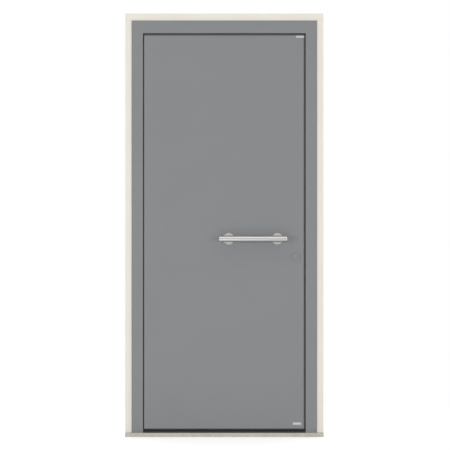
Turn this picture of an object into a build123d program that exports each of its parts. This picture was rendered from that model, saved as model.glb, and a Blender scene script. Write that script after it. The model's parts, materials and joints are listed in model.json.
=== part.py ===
"""Wood-aluminium front door: clad timber frame, flush leaf, hinges, lock and fittings.

X runs along the wall with the lock on the right as seen from the street, Y runs from the street
to the room, and Z is up. The origin is under the middle of the sill, where it beds on the ground.
All sizes are in millimetres.
"""

from build123d import *

from collections import namedtuple
import os

# Frame: two posts and a head of timber, rebated on the room side
FRAME_WIDTH = 1000.0
FRAME_HEIGHT = 2225.0
POST_FACE = 61.0
HEAD_FACE = 68.0
FRAME_TIMBER_DEPTH = 78.0
STOP_DEPTH = 33.0
REBATE = 20.0
TIMBER_ARRIS = 2.0

# Aluminium cladding on the street side of the frame
CLADDING_STANDOFF = 12.0
CLADDING_SHEET = 2.0
CLADDING_RETURN = 30.0
CLADDING_ARRIS = 1.2

# Surround that the frame is screwed into, and the sill that carries both
SURROUND_SIDE = 35.0
SURROUND_TOP = 38.0
SURROUND_SETBACK = 6.0
SURROUND_ARRIS = 1.5
SILL_HEIGHT = 21.0
SILL_PROJECTION = 30.0
SILL_NOSE = 4.0
DRIP_GROOVE = 6.0
DRIP_INSET = 10.0

# Threshold: a sloped stop in front of a thin base plate
THRESHOLD_STOP = 16.4
THRESHOLD_FRONT = 11.0
THRESHOLD_SLOPE = 25.0
THRESHOLD_BASE = 3.0
TREAD_GROOVE = 2.0
TREAD_GROOVE_PITCH = 5.0
TREAD_GROOVES = 3

# Gaps round the leaf: the shadow line seen from the street, and the rebate behind it
HINGE_GAP = 6.0
LOCK_GAP = 10.0
HEAD_GAP = 12.0
FOOT_GAP = 6.0
HINGE_REBATE_GAP = 6.0
LOCK_REBATE_GAP = 8.0
HEAD_REBATE_GAP = 6.0
FOOT_REBATE_GAP = 6.0

# Leaf: aluminium tray, timber stiles and rails, insulating core, timber facing
LEAF_SHEET = 3.0
LEAF_RETURN = 24.0
LEAF_ARRIS = 2.0
STILE_WIDTH = 115.0
TOP_RAIL = 115.0
BOTTOM_RAIL = 150.0
FACING = 18.0
FACING_ARRIS = 4.0
OVERLAP = 12.0

# Gaskets: a flat foot with a round bulb, shown at rest and clear of the frame
GASKET_FOOT = 1.5
GASKET_BULB = 2.0
GASKET_EDGE = 1.0
OVERLAP_GASKET_EDGE = 3.0
GASKET_JOINT = 0.5
SEAL_CLEARANCE = 5.0

# Three-knuckle hinges on the room side
HINGE_END_DISTANCE = 260.0
BARREL_RADIUS = 11.0
BARREL_CLEARANCE = 5.0
PIN_RADIUS = 6.0
PIN_SEAT_CLEARANCE = 0.05
PIN_RUNNING_CLEARANCE = 0.1
PIN_CAP = 4.0
PIN_CAP_ARRIS = 2.0
KNUCKLE_HEIGHT = 40.0
KNUCKLE_GAP = 1.0
HINGE_NECK = 11.0
HINGE_PLATE = 3.0
HINGE_PLATE_INSET = 1.0
HINGE_PLATE_CORNER = 4.0
LEAF_WING = 48.0
LEAF_WING_HEIGHT = 100.0
LEAF_WING_CORNER = 8.0

# Lock in the edge of the leaf, and its strike plates in the frame
HANDLE_HEIGHT = 1047.0
BACKSET = 65.0
CYLINDER_DROP = 92.0
FACEPLATE_WIDTH = 24.0
FACEPLATE_END = 190.0
FACEPLATE = 3.0
BOLT_WIDTH = 14.0
BOLT_DEPTH = 22.0
BOLT_CLEARANCE = 0.3
LATCH_HEIGHT = 32.0
HOOK_HEIGHT = 60.0
HOOK_DISTANCE = 620.0
STRIKE = 2.5
STRIKE_WIDTH = 26.0
STRIKE_MARGIN = 34.0
STRIKE_CORNER = 5.0
STRIKE_ROOM = 2.0
STRIKE_POCKET = 16.0

# Profile cylinder with a rosette on each side
CYLINDER_RADIUS = 8.5
CYLINDER_SLOT = 10.0
CYLINDER_HEIGHT = 33.0
CYLINDER_PROUD = 1.0
CYLINDER_CLEARANCE = 0.3
KEYWAY_WIDTH = 2.6
KEYWAY_HEIGHT = 9.0
KEYWAY_DEPTH = 8.0
ROSETTE_RADIUS = 26.0
OUTER_ROSETTE = 4.0
INNER_ROSETTE = 8.0
ROSETTE_ARRIS = 1.5

# Lever on the room side
LEVER_RADIUS = 9.5
LEVER_STANDOFF = 52.0
LEVER_LENGTH = 128.0
LEVER_BEND = 15.0
LEVER_ARRIS = 3.0
LEVER_CLEARANCE = 0.3

# Level pull bar on the street side
BAR_LENGTH = 368.0
BAR_RADIUS = 16.0
BAR_STANDOFF = 60.0
BAR_ARRIS = 3.0
BAR_FROM_LOCK_EDGE = 90.0
BAR_POST_INSET = 53.0
BAR_POST_RADIUS = 10.0
BAR_FLANGE_RADIUS = 31.0
BAR_FLANGE = 6.0
BAR_FLANGE_ARRIS = 2.0

# Screw holes from the rebate into the wall
FIXING_END_DISTANCE = 160.0
FIXING_INNER_SPACING = 700.0
FIXING_RADIUS = 4.0
FIXING_HEAD_RADIUS = 6.0

# How close two places are to count as one
SAME_PLACE = 1e-3

# Planes across the depth, from the street to the room
FACE_Y = -(CLADDING_STANDOFF + FRAME_TIMBER_DEPTH) / 2
TIMBER_Y = FACE_Y + CLADDING_STANDOFF
STOP_Y = TIMBER_Y + STOP_DEPTH
ROOM_Y = TIMBER_Y + FRAME_TIMBER_DEPTH
SEAL_GAP = GASKET_FOOT + GASKET_BULB + SEAL_CLEARANCE
STEP_Y = STOP_Y + SEAL_GAP
FACING_Y = ROOM_Y + SEAL_GAP
LEAF_ROOM_Y = FACING_Y + FACING

# Outlines in the plane of the wall
Outline = namedtuple("Outline", "left right bottom top")
FRAME_SIDE = FRAME_WIDTH / 2
FRAME_TOP = SILL_HEIGHT + FRAME_HEIGHT
OPENING = Outline(
    left=POST_FACE - FRAME_SIDE,
    right=FRAME_SIDE - POST_FACE,
    bottom=SILL_HEIGHT + THRESHOLD_STOP,
    top=FRAME_TOP - HEAD_FACE,
)
REBATED = Outline(
    left=OPENING.left - REBATE,
    right=OPENING.right + REBATE,
    bottom=SILL_HEIGHT + THRESHOLD_BASE,
    top=OPENING.top + REBATE,
)
LEAF_FACE = Outline(
    left=OPENING.left + HINGE_GAP,
    right=OPENING.right - LOCK_GAP,
    bottom=OPENING.bottom + FOOT_GAP,
    top=OPENING.top - HEAD_GAP,
)
TRAY_INSIDE = Outline(
    left=LEAF_FACE.left + LEAF_SHEET,
    right=LEAF_FACE.right - LEAF_SHEET,
    bottom=LEAF_FACE.bottom + LEAF_SHEET,
    top=LEAF_FACE.top - LEAF_SHEET,
)
LEAF_BODY = Outline(
    left=REBATED.left + HINGE_REBATE_GAP,
    right=REBATED.right - LOCK_REBATE_GAP,
    bottom=REBATED.bottom + FOOT_REBATE_GAP,
    top=REBATED.top - HEAD_REBATE_GAP,
)
FACING_EDGE = Outline(
    left=REBATED.left - OVERLAP,
    right=REBATED.right + OVERLAP,
    bottom=LEAF_BODY.bottom,
    top=REBATED.top + OVERLAP,
)
CORE = Outline(
    left=LEAF_BODY.left + STILE_WIDTH,
    right=LEAF_BODY.right - STILE_WIDTH,
    bottom=LEAF_BODY.bottom + BOTTOM_RAIL,
    top=LEAF_BODY.top - TOP_RAIL,
)

# Axes of the moving and fitted pieces
HINGE_X = FACING_EDGE.left - BARREL_CLEARANCE - BARREL_RADIUS
HINGE_Y = LEAF_ROOM_Y + HINGE_PLATE - BARREL_RADIUS
HINGE_REACH = KNUCKLE_HEIGHT / 2 + KNUCKLE_GAP + KNUCKLE_HEIGHT
HINGE_LEVELS = {
    "bottom": LEAF_BODY.bottom + HINGE_END_DISTANCE,
    "middle": (LEAF_BODY.bottom + LEAF_BODY.top) / 2,
    "top": LEAF_BODY.top - HINGE_END_DISTANCE,
}
LOCK_X = LEAF_BODY.right - BACKSET
LOCK_Y = (STEP_Y + FACING_Y) / 2
HANDLE_Z = SILL_HEIGHT + HANDLE_HEIGHT
CYLINDER_Z = HANDLE_Z - CYLINDER_DROP
CYLINDER_MIDDLE_Z = CYLINDER_Z + CYLINDER_RADIUS - CYLINDER_HEIGHT / 2
FIXING_MIDDLE_Z = SILL_HEIGHT + FRAME_HEIGHT / 2
FIXING_Y = (STOP_Y + ROOM_Y) / 2

# Bolts of the lock as (middle, height), by the strike plate that takes them
LOCK_BOLTS = {
    "bottom": [(HANDLE_Z - HOOK_DISTANCE, HOOK_HEIGHT)],
    "main": [(HANDLE_Z, LATCH_HEIGHT), (CYLINDER_Z, LATCH_HEIGHT)],
    "top": [(HANDLE_Z + HOOK_DISTANCE, HOOK_HEIGHT)],
}


def block(x, y, z):
    """Box between a lower and an upper limit on each axis, given in either order."""
    limits = [sorted(pair) for pair in (x, y, z)]
    middle = [(low + high) / 2 for low, high in limits]
    return Pos(*middle) * Box(*[high - low for low, high in limits])


def rod(radius, start, end):
    """Round bar from one point to another along a single axis."""
    run = Vector(*end) - Vector(*start)
    return extrude(Plane(start, z_dir=run) * Circle(radius), run.length)


def edges_at(shape, direction=None, **place):
    """Edges whose middles have the given coordinates, only those along an axis if one is given."""
    found = shape.edges().filter_by(direction) if direction else shape.edges()
    for axis, value in place.items():
        found = found.filter_by(lambda e: abs(getattr(e.center(), axis) - value) < SAME_PLACE)
    return found


def about(middle, height):
    """Limits of a stretch of a given height about its middle."""
    return (middle - height / 2, middle + height / 2)


# Sill, threshold and surround


def make_sill():
    side = FRAME_SIDE + SURROUND_SIDE
    front = FACE_Y - SILL_PROJECTION
    slab = block((-side, side), (front, ROOM_Y), (0, SILL_HEIGHT))
    slab = fillet(edges_at(slab, Axis.X, Y=front, Z=SILL_HEIGHT), SILL_NOSE)
    groove_y = front + DRIP_INSET + DRIP_GROOVE / 2
    return slab - rod(DRIP_GROOVE / 2, (-side, groove_y, 0), (side, groove_y, 0))


def make_threshold():
    ridge = OPENING.bottom
    section = Polyline(
        (FACE_Y, SILL_HEIGHT),
        (FACE_Y, SILL_HEIGHT + THRESHOLD_FRONT),
        (FACE_Y + THRESHOLD_SLOPE, ridge),
        (STOP_Y, ridge),
        (STOP_Y, SILL_HEIGHT),
        close=True,
    )
    profile = Plane.YZ.offset(OPENING.left) * make_face(section)
    stop = extrude(profile, OPENING.right - OPENING.left)
    base = block((REBATED.left, REBATED.right), (STOP_Y, ROOM_Y), (SILL_HEIGHT, REBATED.bottom))
    grooves = []
    for step in range(1, TREAD_GROOVES + 1):
        y = STOP_Y - step * TREAD_GROOVE_PITCH
        grooves.append(rod(TREAD_GROOVE / 2, (OPENING.left, y, ridge), (OPENING.right, y, ridge)))
    return stop + base - grooves


def make_surround_post(side):
    front = FACE_Y + SURROUND_SETBACK
    outer = side * (FRAME_SIDE + SURROUND_SIDE)
    post = block((side * FRAME_SIDE, outer), (front, ROOM_Y), (SILL_HEIGHT, FRAME_TOP))
    post = fillet(edges_at(post, Axis.Z, X=outer, Y=front), SURROUND_ARRIS)
    return post - fixing_holes(side, FIXING_RADIUS)


def make_surround_head():
    front = FACE_Y + SURROUND_SETBACK
    side = FRAME_SIDE + SURROUND_SIDE
    top = FRAME_TOP + SURROUND_TOP
    head = block((-side, side), (front, ROOM_Y), (FRAME_TOP, top))
    rounded = edges_at(head, Axis.X, Y=front, Z=top)
    for x in (-side, side):
        rounded += edges_at(head, Axis.Z, X=x, Y=front)
    return fillet(rounded, SURROUND_ARRIS)


# Timber frame


def fixing_levels():
    outer = FRAME_HEIGHT / 2 - FIXING_END_DISTANCE
    inner = FIXING_INNER_SPACING / 2
    return [FIXING_MIDDLE_Z + rise for rise in (-outer, -inner, inner, outer)]


def fixing_holes(side, radius):
    """Drillings along X from the rebate to the outside of the surround."""
    inside = side * REBATED.right
    outside = side * (FRAME_SIDE + SURROUND_SIDE)
    return [
        rod(radius, (inside, FIXING_Y, level), (outside, FIXING_Y, level))
        for level in fixing_levels()
    ]


def rebated_section(face):
    """Timber section from its outer side, behind a visible face of the given width."""
    stop = face - CLADDING_SHEET
    rebate = face - REBATE
    section = make_face(
        Polyline(
            (0, TIMBER_Y), (stop, TIMBER_Y), (stop, STOP_Y), (rebate, STOP_Y),
            (rebate, ROOM_Y), (0, ROOM_Y), close=True,
        )
    )
    room_corner = section.vertices().group_by(Axis.Y)[-1].sort_by(Axis.X)[-1]
    return fillet(room_corner, TIMBER_ARRIS)


def make_frame_post(side):
    plane = Plane((-FRAME_SIDE, 0, SILL_HEIGHT), x_dir=(1, 0, 0), z_dir=(0, 0, 1))
    post = extrude(plane * rebated_section(POST_FACE), FRAME_HEIGHT)
    if side > 0:
        post = mirror(post, about=Plane.YZ)
    return post - fixing_holes(side, FIXING_HEAD_RADIUS)


def make_lock_post():
    """The right post, with a seat for each strike plate and a pocket for each bolt."""
    post = make_frame_post(1)
    for bolts in LOCK_BOLTS.values():
        post -= strike_blank(bolts)
        post -= strike_windows(bolts, STRIKE_POCKET)
    return post


def make_frame_head():
    """Runs between the posts, with its stop cut back so that it fits between theirs."""
    plane = Plane((REBATED.left, 0, FRAME_TOP), x_dir=(0, 0, -1), z_dir=(1, 0, 0))
    head = extrude(plane * rebated_section(HEAD_FACE), REBATED.right - REBATED.left)
    for side in (-1, 1):
        stop_edge = side * (OPENING.right + CLADDING_SHEET)
        head -= block(
            (stop_edge, side * REBATED.right), (TIMBER_Y, STOP_Y), (OPENING.top, FRAME_TOP)
        )
    return head


# Aluminium cladding, mitred at the top corners


def cladding_channel(plane, face, length):
    """Lipped channel whose face lies on the street side, run along the plane's normal."""
    section = Polyline(
        (0, 0),
        (face, 0),
        (face, CLADDING_RETURN),
        (face - CLADDING_SHEET, CLADDING_RETURN),
        (face - CLADDING_SHEET, CLADDING_SHEET),
        (CLADDING_SHEET, CLADDING_SHEET),
        (CLADDING_SHEET, CLADDING_STANDOFF),
        (0, CLADDING_STANDOFF),
        close=True,
    )
    profile = make_face(section)
    outer_corners = profile.vertices().group_by(Axis.Y)[0]
    profile = fillet(outer_corners, CLADDING_ARRIS)
    return extrude(plane * profile, length)


def mitre_wedge(*corners):
    """Everything behind a polygon in the plane of the wall, as deep as the cladding."""
    plane = Plane((0, FACE_Y, 0), x_dir=(1, 0, 0), z_dir=(0, -1, 0))
    return extrude(plane * make_face(Polyline(*corners, close=True)), -CLADDING_RETURN)


def make_left_cladding():
    plane = Plane((-FRAME_SIDE, FACE_Y, SILL_HEIGHT), x_dir=(1, 0, 0), z_dir=(0, 0, 1))
    wedge = mitre_wedge(
        (-FRAME_SIDE, SILL_HEIGHT),
        (OPENING.left, SILL_HEIGHT),
        (OPENING.left, OPENING.top),
        (OPENING.left - CLADDING_SHEET, OPENING.top + CLADDING_SHEET),
        (-FRAME_SIDE, FRAME_TOP),
    )
    return cladding_channel(plane, POST_FACE, FRAME_HEIGHT) & wedge


def make_head_cladding():
    plane = Plane((-FRAME_SIDE, FACE_Y, FRAME_TOP), x_dir=(0, 0, -1), z_dir=(1, 0, 0))
    wedge = mitre_wedge(
        (-FRAME_SIDE, FRAME_TOP),
        (OPENING.left - CLADDING_SHEET, OPENING.top + CLADDING_SHEET),
        (OPENING.left, OPENING.top),
        (OPENING.right, OPENING.top),
        (OPENING.right + CLADDING_SHEET, OPENING.top + CLADDING_SHEET),
        (FRAME_SIDE, FRAME_TOP),
    )
    return cladding_channel(plane, HEAD_FACE, FRAME_WIDTH) & wedge


# Leaf


def make_leaf_cladding():
    depth = FACE_Y + LEAF_RETURN
    tray = block(LEAF_FACE[:2], (FACE_Y, depth), LEAF_FACE[2:])
    tray = fillet(tray.faces().sort_by(Axis.Y)[0].edges(), LEAF_ARRIS)
    tray -= block(TRAY_INSIDE[:2], (FACE_Y + LEAF_SHEET, depth), TRAY_INSIDE[2:])
    return tray - cylinder_body(CYLINDER_CLEARANCE)


def stepped_timber(face_x, face_z, body_x, body_z):
    """Narrow part behind the tray, fused to the wide part that closes into the rebate."""
    narrow = block(face_x, (FACE_Y + LEAF_SHEET, STEP_Y), face_z)
    return narrow + block(body_x, (STEP_Y, FACING_Y), body_z)


def make_hinge_stile():
    return stepped_timber(
        (TRAY_INSIDE.left, CORE.left),
        TRAY_INSIDE[2:],
        (LEAF_BODY.left, CORE.left),
        LEAF_BODY[2:],
    )


def make_lock_stile():
    stile = stepped_timber(
        (CORE.right, TRAY_INSIDE.right),
        TRAY_INSIDE[2:],
        (CORE.right, LEAF_BODY.right),
        LEAF_BODY[2:],
    )
    stile -= cylinder_body(CYLINDER_CLEARANCE)
    return stile - faceplate_strip() - lock_bolt_set(BOLT_CLEARANCE)


def make_top_rail():
    across = (CORE.left, CORE.right)
    return stepped_timber(
        across, (CORE.top, TRAY_INSIDE.top), across, (CORE.top, LEAF_BODY.top)
    )


def make_bottom_rail():
    across = (CORE.left, CORE.right)
    return stepped_timber(
        across, (TRAY_INSIDE.bottom, CORE.bottom), across, (LEAF_BODY.bottom, CORE.bottom)
    )


def make_leaf_core():
    return block(CORE[:2], (FACE_Y + LEAF_SHEET, FACING_Y), CORE[2:])


def make_inner_facing():
    panel = block(FACING_EDGE[:2], (FACING_Y, LEAF_ROOM_Y), FACING_EDGE[2:])
    panel = fillet(panel.faces().sort_by(Axis.Y)[-1].edges(), FACING_ARRIS)
    return panel - cylinder_body(CYLINDER_CLEARANCE)


# Gaskets


def gasket_strip(plane, width, length, bulb_at):
    """Foot on the plane with a half-round bulb at a distance across it, run along the normal."""
    left, right = bulb_at - GASKET_BULB, bulb_at + GASKET_BULB
    top = GASKET_FOOT
    outline = [
        Polyline((left, top), (0, top), (0, 0), (width, 0), (width, top), (right, top)),
        ThreePointArc((right, top), (bulb_at, top + GASKET_BULB), (left, top)),
    ]
    return extrude(plane * make_face(outline), length)


def upright_strip(x, z, back_y, bulb_x):
    plane = Plane((x[1], back_y, z[0]), x_dir=(-1, 0, 0), z_dir=(0, 0, 1))
    return gasket_strip(plane, x[1] - x[0], z[1] - z[0], x[1] - bulb_x)


def level_strip(x, z, back_y, bulb_z):
    plane = Plane((x[0], back_y, z[0]), x_dir=(0, 0, 1), z_dir=(1, 0, 0))
    return gasket_strip(plane, z[1] - z[0], x[1] - x[0], bulb_z - z[0])


def make_step_gasket():
    """Four strips on the step of the leaf, with their bulbs facing the stop and the threshold."""
    z = (LEAF_BODY.bottom + GASKET_EDGE, LEAF_BODY.top - GASKET_EDGE)
    x = (TRAY_INSIDE.left + GASKET_JOINT, TRAY_INSIDE.right - GASKET_JOINT)
    left = (LEAF_BODY.left + GASKET_EDGE, TRAY_INSIDE.left)
    right = (TRAY_INSIDE.right, LEAF_BODY.right - GASKET_EDGE)
    top = (TRAY_INSIDE.top, LEAF_BODY.top - GASKET_EDGE)
    bottom = (LEAF_BODY.bottom + GASKET_EDGE, TRAY_INSIDE.bottom)
    bulbs = Outline(
        left=(OPENING.left - CLADDING_SHEET + LEAF_BODY.left) / 2,
        right=(OPENING.right + CLADDING_SHEET + LEAF_BODY.right) / 2,
        bottom=(OPENING.bottom + LEAF_BODY.bottom) / 2,
        top=(OPENING.top + CLADDING_SHEET + LEAF_BODY.top) / 2,
    )
    return [
        upright_strip(left, z, STEP_Y, bulbs.left),
        upright_strip(right, z, STEP_Y, bulbs.right),
        level_strip(x, top, STEP_Y, bulbs.top),
        level_strip(x, bottom, STEP_Y, bulbs.bottom),
    ]


def make_overlap_gasket():
    """Three strips behind the edge of the facing, with their bulbs facing the frame."""
    edge = OVERLAP_GASKET_EDGE
    left = (FACING_EDGE.left + edge, REBATED.left - edge)
    right = (REBATED.right + edge, FACING_EDGE.right - edge)
    top = (REBATED.top + edge, FACING_EDGE.top - edge)
    z = (FACING_EDGE.bottom, top[1])
    x = (left[1] + GASKET_JOINT, right[0] - GASKET_JOINT)
    return [
        upright_strip(left, z, FACING_Y, sum(left) / 2),
        upright_strip(right, z, FACING_Y, sum(right) / 2),
        level_strip(x, top, FACING_Y, sum(top) / 2),
    ]


# Hinges


def hinge_rod(radius, low, high):
    return rod(radius, (HINGE_X, HINGE_Y, low), (HINGE_X, HINGE_Y, high))


def rounded_plate(x, y, z, radius):
    """Flat plate in the plane of the wall with round corners."""
    plate = block(x, y, z)
    return fillet(plate.edges().filter_by(Axis.Y), radius)


def make_hinge_leaf_half(level):
    """Middle knuckle rolled from a strap, which widens to a wing on the facing."""
    limits = about(level, KNUCKLE_HEIGHT)
    wing_x = (FACING_EDGE.left + FACING_ARRIS, FACING_EDGE.left + LEAF_WING)
    wing_y = (LEAF_ROOM_Y, LEAF_ROOM_Y + HINGE_PLATE)
    half = hinge_rod(BARREL_RADIUS, *limits)
    half += block((HINGE_X, wing_x[1]), wing_y, limits)
    half += rounded_plate(wing_x, wing_y, about(level, LEAF_WING_HEIGHT), LEAF_WING_CORNER)
    return half - hinge_rod(PIN_RADIUS + PIN_RUNNING_CLEARANCE, *limits)


def make_hinge_frame_half(level):
    """Upper and lower knuckles on a plate that lies on the room side of the post."""
    low_end, high_end = level - HINGE_REACH, level + HINGE_REACH
    half = rounded_plate(
        (HINGE_PLATE_INSET - FRAME_SIDE, HINGE_X + BARREL_RADIUS),
        (ROOM_Y, ROOM_Y + HINGE_PLATE),
        (low_end, high_end),
        HINGE_PLATE_CORNER,
    )
    neck = about(HINGE_X, HINGE_NECK)
    for low in (low_end, high_end - KNUCKLE_HEIGHT):
        limits = (low, low + KNUCKLE_HEIGHT)
        half += hinge_rod(BARREL_RADIUS, *limits)
        half += block(neck, (ROOM_Y, HINGE_Y), limits)
    return half - hinge_rod(PIN_RADIUS + PIN_SEAT_CLEARANCE, low_end, high_end)


def make_hinge_pin(level):
    """Pin through all three knuckles, with a round-edged cap on each end."""
    pin = hinge_rod(PIN_RADIUS, level - HINGE_REACH, level + HINGE_REACH)
    for side in (-1, 1):
        seat = level + side * HINGE_REACH
        top = seat + side * PIN_CAP
        cap = hinge_rod(BARREL_RADIUS, seat, top)
        pin += fillet(edges_at(cap, Z=top), PIN_CAP_ARRIS)
    return pin


# Lock


def faceplate_strip():
    """Round-ended strip that reaches past the top and bottom hooks."""
    length = 2 * (HOOK_DISTANCE + FACEPLATE_END)
    place = (LEAF_BODY.right - FACEPLATE, LOCK_Y, HANDLE_Z)
    plane = Plane(place, x_dir=(0, 0, 1), z_dir=(1, 0, 0))
    return extrude(plane * SlotOverall(length, FACEPLATE_WIDTH), FACEPLATE)


def lock_bolt_set(clearance):
    """The latch, the deadbolt and two hooks, drawn back flush with the faceplate."""
    return [
        block(
            (LEAF_BODY.right - BOLT_DEPTH - clearance, LEAF_BODY.right),
            about(LOCK_Y, BOLT_WIDTH + 2 * clearance),
            about(middle, height + 2 * clearance),
        )
        for bolts in LOCK_BOLTS.values()
        for middle, height in bolts
    ]


def make_lock_faceplate():
    return faceplate_strip() - lock_bolt_set(BOLT_CLEARANCE)


def strike_blank(bolts):
    """Round-cornered plate, flush with the rebate, that covers a group of bolts."""
    low = min(middle - height / 2 for middle, height in bolts) - STRIKE_MARGIN
    high = max(middle + height / 2 for middle, height in bolts) + STRIKE_MARGIN
    place = (REBATED.right, LOCK_Y, (low + high) / 2)
    plane = Plane(place, x_dir=(0, 0, 1), z_dir=(1, 0, 0))
    return extrude(plane * RectangleRounded(high - low, STRIKE_WIDTH, STRIKE_CORNER), STRIKE)


def strike_windows(bolts, depth):
    """Openings for the bolts, a little larger than the bolts, from the rebate into the post."""
    return [
        block(
            (REBATED.right, REBATED.right + depth),
            about(LOCK_Y, BOLT_WIDTH + 2 * STRIKE_ROOM),
            about(middle, height + 2 * STRIKE_ROOM),
        )
        for middle, height in bolts
    ]


def make_strike_plate(bolts):
    return strike_blank(bolts) - strike_windows(bolts, STRIKE)


# Cylinder, rosettes and lever


def cylinder_profile(clearance):
    """Round head over a narrower stem, both grown by a clearance."""
    stem_foot = CYLINDER_RADIUS - CYLINDER_HEIGHT + CYLINDER_SLOT / 2
    head = Circle(CYLINDER_RADIUS + clearance)
    foot = Pos(0, stem_foot) * Circle(CYLINDER_SLOT / 2 + clearance)
    stem = Pos(0, stem_foot / 2) * Rectangle(CYLINDER_SLOT + 2 * clearance, -stem_foot)
    return head + foot + stem


def cylinder_ends():
    outside = FACE_Y - OUTER_ROSETTE - CYLINDER_PROUD
    inside = LEAF_ROOM_Y + INNER_ROSETTE + CYLINDER_PROUD
    return outside, inside


def cylinder_body(clearance):
    outside, inside = cylinder_ends()
    plane = Plane((LOCK_X, inside, CYLINDER_Z), x_dir=(1, 0, 0), z_dir=(0, -1, 0))
    return extrude(plane * cylinder_profile(clearance), inside - outside)


def make_lock_cylinder():
    """Cylinder through the whole leaf, with a keyway in each end."""
    outside, inside = cylinder_ends()
    across = about(LOCK_X, KEYWAY_WIDTH)
    upright = about(CYLINDER_Z, KEYWAY_HEIGHT)
    cylinder = cylinder_body(0)
    cylinder -= block(across, (outside, outside + KEYWAY_DEPTH), upright)
    return cylinder - block(across, (inside - KEYWAY_DEPTH, inside), upright)


def rosette_disc(seat_y, face_y, z):
    disc = rod(ROSETTE_RADIUS, (LOCK_X, seat_y, z), (LOCK_X, face_y, z))
    return fillet(edges_at(disc, Y=face_y), ROSETTE_ARRIS)


def make_cylinder_rosette(seat_y, face_y):
    return rosette_disc(seat_y, face_y, CYLINDER_MIDDLE_Z) - cylinder_body(CYLINDER_CLEARANCE)


def make_lever_rosette():
    face_y = LEAF_ROOM_Y + INNER_ROSETTE
    neck = rod(
        LEVER_RADIUS + LEVER_CLEARANCE,
        (LOCK_X, LEAF_ROOM_Y, HANDLE_Z),
        (LOCK_X, face_y, HANDLE_Z),
    )
    return rosette_disc(LEAF_ROOM_Y, face_y, HANDLE_Z) - neck


def make_inside_lever():
    """Round bar bent once, from the spindle out into the room and then towards the hinges."""
    seat = (LOCK_X, LEAF_ROOM_Y, HANDLE_Z)
    corner = (LOCK_X, LEAF_ROOM_Y + LEVER_STANDOFF, HANDLE_Z)
    tip = (LOCK_X - LEVER_LENGTH, LEAF_ROOM_Y + LEVER_STANDOFF, HANDLE_Z)
    path = FilletPolyline(seat, corner, tip, radius=LEVER_BEND)
    lever = sweep(Plane(seat, z_dir=(0, 1, 0)) * Circle(LEVER_RADIUS), path)
    rim = lever.faces().sort_by(Axis.X)[0].edges()
    return fillet(rim, LEVER_ARRIS)


# Pull bar


def bar_limits():
    right = LEAF_FACE.right - BAR_FROM_LOCK_EDGE
    return (right - BAR_LENGTH, right)


def bar_rod():
    left, right = bar_limits()
    y = FACE_Y - BAR_STANDOFF
    return rod(BAR_RADIUS, (left, y, HANDLE_Z), (right, y, HANDLE_Z))


def make_pull_bar():
    bar = bar_rod()
    return fillet(bar.edges().filter_by(GeomType.CIRCLE), BAR_ARRIS)


def make_bar_post(x):
    """Stem on a flange against the leaf, coped to the back of the bar."""
    seat = (x, FACE_Y, HANDLE_Z)
    flange_y = FACE_Y - BAR_FLANGE
    flange = rod(BAR_FLANGE_RADIUS, seat, (x, flange_y, HANDLE_Z))
    flange = fillet(edges_at(flange, Y=flange_y), BAR_FLANGE_ARRIS)
    stem = rod(BAR_POST_RADIUS, seat, (x, FACE_Y - BAR_STANDOFF, HANDLE_Z))
    return flange + stem - bar_rod()


def make_door():
    """Every piece of the door by name, in place with the leaf closed."""
    left_cladding = make_left_cladding()
    bar_left, bar_right = bar_limits()
    pieces = {
        "sill": make_sill(),
        "threshold": make_threshold(),
        "left_surround_post": make_surround_post(-1),
        "right_surround_post": make_surround_post(1),
        "surround_head": make_surround_head(),
        "left_frame_post": make_frame_post(-1),
        "right_frame_post": make_lock_post(),
        "frame_head": make_frame_head(),
        "left_frame_cladding": left_cladding,
        "right_frame_cladding": mirror(left_cladding, about=Plane.YZ),
        "frame_head_cladding": make_head_cladding(),
        "leaf_cladding": make_leaf_cladding(),
        "hinge_stile": make_hinge_stile(),
        "lock_stile": make_lock_stile(),
        "top_rail": make_top_rail(),
        "bottom_rail": make_bottom_rail(),
        "leaf_core": make_leaf_core(),
        "inner_facing": make_inner_facing(),
        "step_gasket": make_step_gasket(),
        "overlap_gasket": make_overlap_gasket(),
        "lock_faceplate": make_lock_faceplate(),
        "lock_bolts": lock_bolt_set(0),
        "lock_cylinder": make_lock_cylinder(),
        "outside_cylinder_rosette": make_cylinder_rosette(FACE_Y, FACE_Y - OUTER_ROSETTE),
        "inside_cylinder_rosette": make_cylinder_rosette(
            LEAF_ROOM_Y, LEAF_ROOM_Y + INNER_ROSETTE
        ),
        "inside_lever": make_inside_lever(),
        "inside_lever_rosette": make_lever_rosette(),
        "pull_bar": make_pull_bar(),
        "pull_bar_left_post": make_bar_post(bar_left + BAR_POST_INSET),
        "pull_bar_right_post": make_bar_post(bar_right - BAR_POST_INSET),
    }
    for name, bolts in LOCK_BOLTS.items():
        pieces[f"{name}_strike_plate"] = make_strike_plate(bolts)
    for name, level in HINGE_LEVELS.items():
        pieces[f"{name}_hinge_frame_half"] = make_hinge_frame_half(level)
        pieces[f"{name}_hinge_leaf_half"] = make_hinge_leaf_half(level)
        pieces[f"{name}_hinge_pin"] = make_hinge_pin(level)
    return pieces


def main():
    os.makedirs("parts", exist_ok=True)
    for name, piece in make_door().items():
        solids = piece if isinstance(piece, list) else [piece]
        export_step(Compound(children=solids), f"parts/{name}.step")


if __name__ == "__main__":
    main()
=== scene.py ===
# %% [markdown]
# # A wood-aluminium front door
#
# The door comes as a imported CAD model: a timber frame clad in grey aluminium, a flush grey leaf,
# a cream surround, a stone sill and the ironwork. Its shapes are right, so every piece stays where
# it is and gets its finish. What a CAD model leaves out is made here: screws, washers and rubber
# lips, which sit on the pieces that carry them, and the small rounding of plain edges.

import json
import math

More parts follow.
